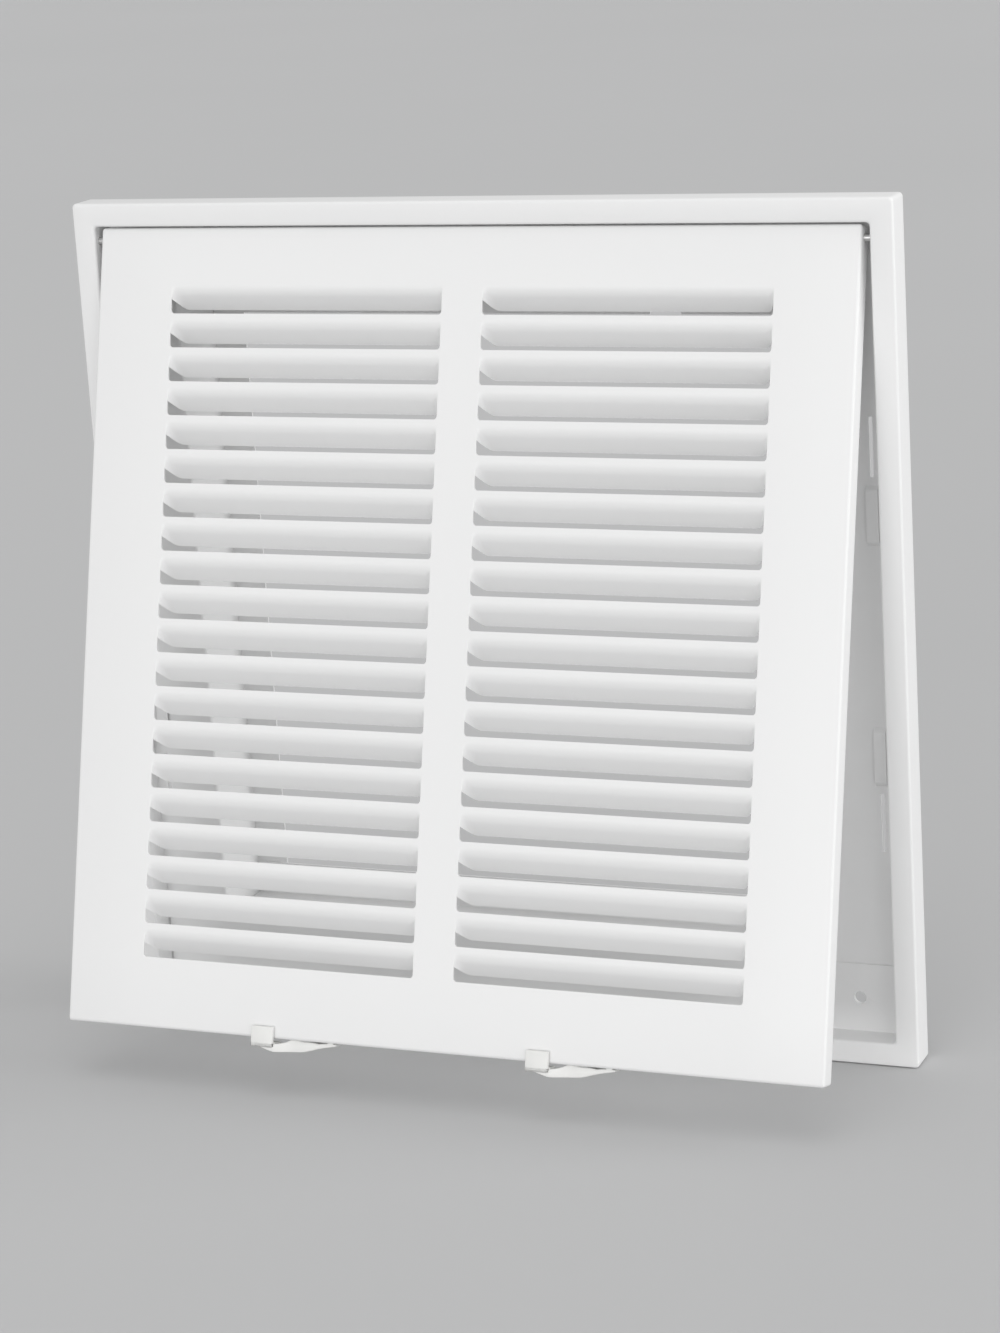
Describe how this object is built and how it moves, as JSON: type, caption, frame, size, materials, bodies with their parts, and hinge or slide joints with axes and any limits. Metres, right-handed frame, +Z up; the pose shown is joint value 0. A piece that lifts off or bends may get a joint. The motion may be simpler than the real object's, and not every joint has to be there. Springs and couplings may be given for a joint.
{
  "type": "return air filter grille",
  "caption": "Square white steel return air grille with a louvred door hinged at its top, standing slightly open, and a flanged neck behind it that holds a flat filter.",
  "frame": {"origin": "centre of the four screw holes and of the duct opening, on the wall plane where the backs of the ledges lie", "axes": "+X to the viewer's right seen from the room, +Y into the wall, +Z up"},
  "size_m": [0.3206, 0.1253, 0.3206],
  "materials": {
    "powder_coat": "white semi-gloss powder coat on folded steel sheet",
    "pin_steel": "plain zinc-plated steel",
    "latch_plastic": "white moulded plastic, slightly satin"
  },
  "bodies": {
    "frame": {"frame_top_rail": "powder_coat", "frame_bottom_rail": "powder_coat", "frame_left_rail": "powder_coat", "frame_right_rail": "powder_coat"},
    "door": {"door_panel": "powder_coat", "left_hinge_pin": "pin_steel", "right_hinge_pin": "pin_steel"},
    "left_latch": {"left_latch": "latch_plastic"},
    "right_latch": {"right_latch": "latch_plastic"}
  },
  "joints": [
    {"name": "door_hinge", "type": "hinge", "parent": "frame", "child": "door", "pos_m": [0, -0.0088, 0.14575], "axis": [-1, 0, 0], "range_deg": [-15.7, 89.3]},
    {"name": "left_latch_flex", "type": "hinge", "parent": "door", "child": "left_latch", "pos_m": [-0.04025, -0.08894, -0.13826], "axis": [0, 0.9627, -0.2706], "range_deg": [0, 2.3], "stiffness_Nm_per_rad": 2},
    {"name": "right_latch_flex", "type": "hinge", "parent": "door", "child": "right_latch", "pos_m": [0.06875, -0.08894, -0.13826], "axis": [0, 0.9627, -0.2706], "range_deg": [0, 2.3], "stiffness_Nm_per_rad": 2}
  ]
}
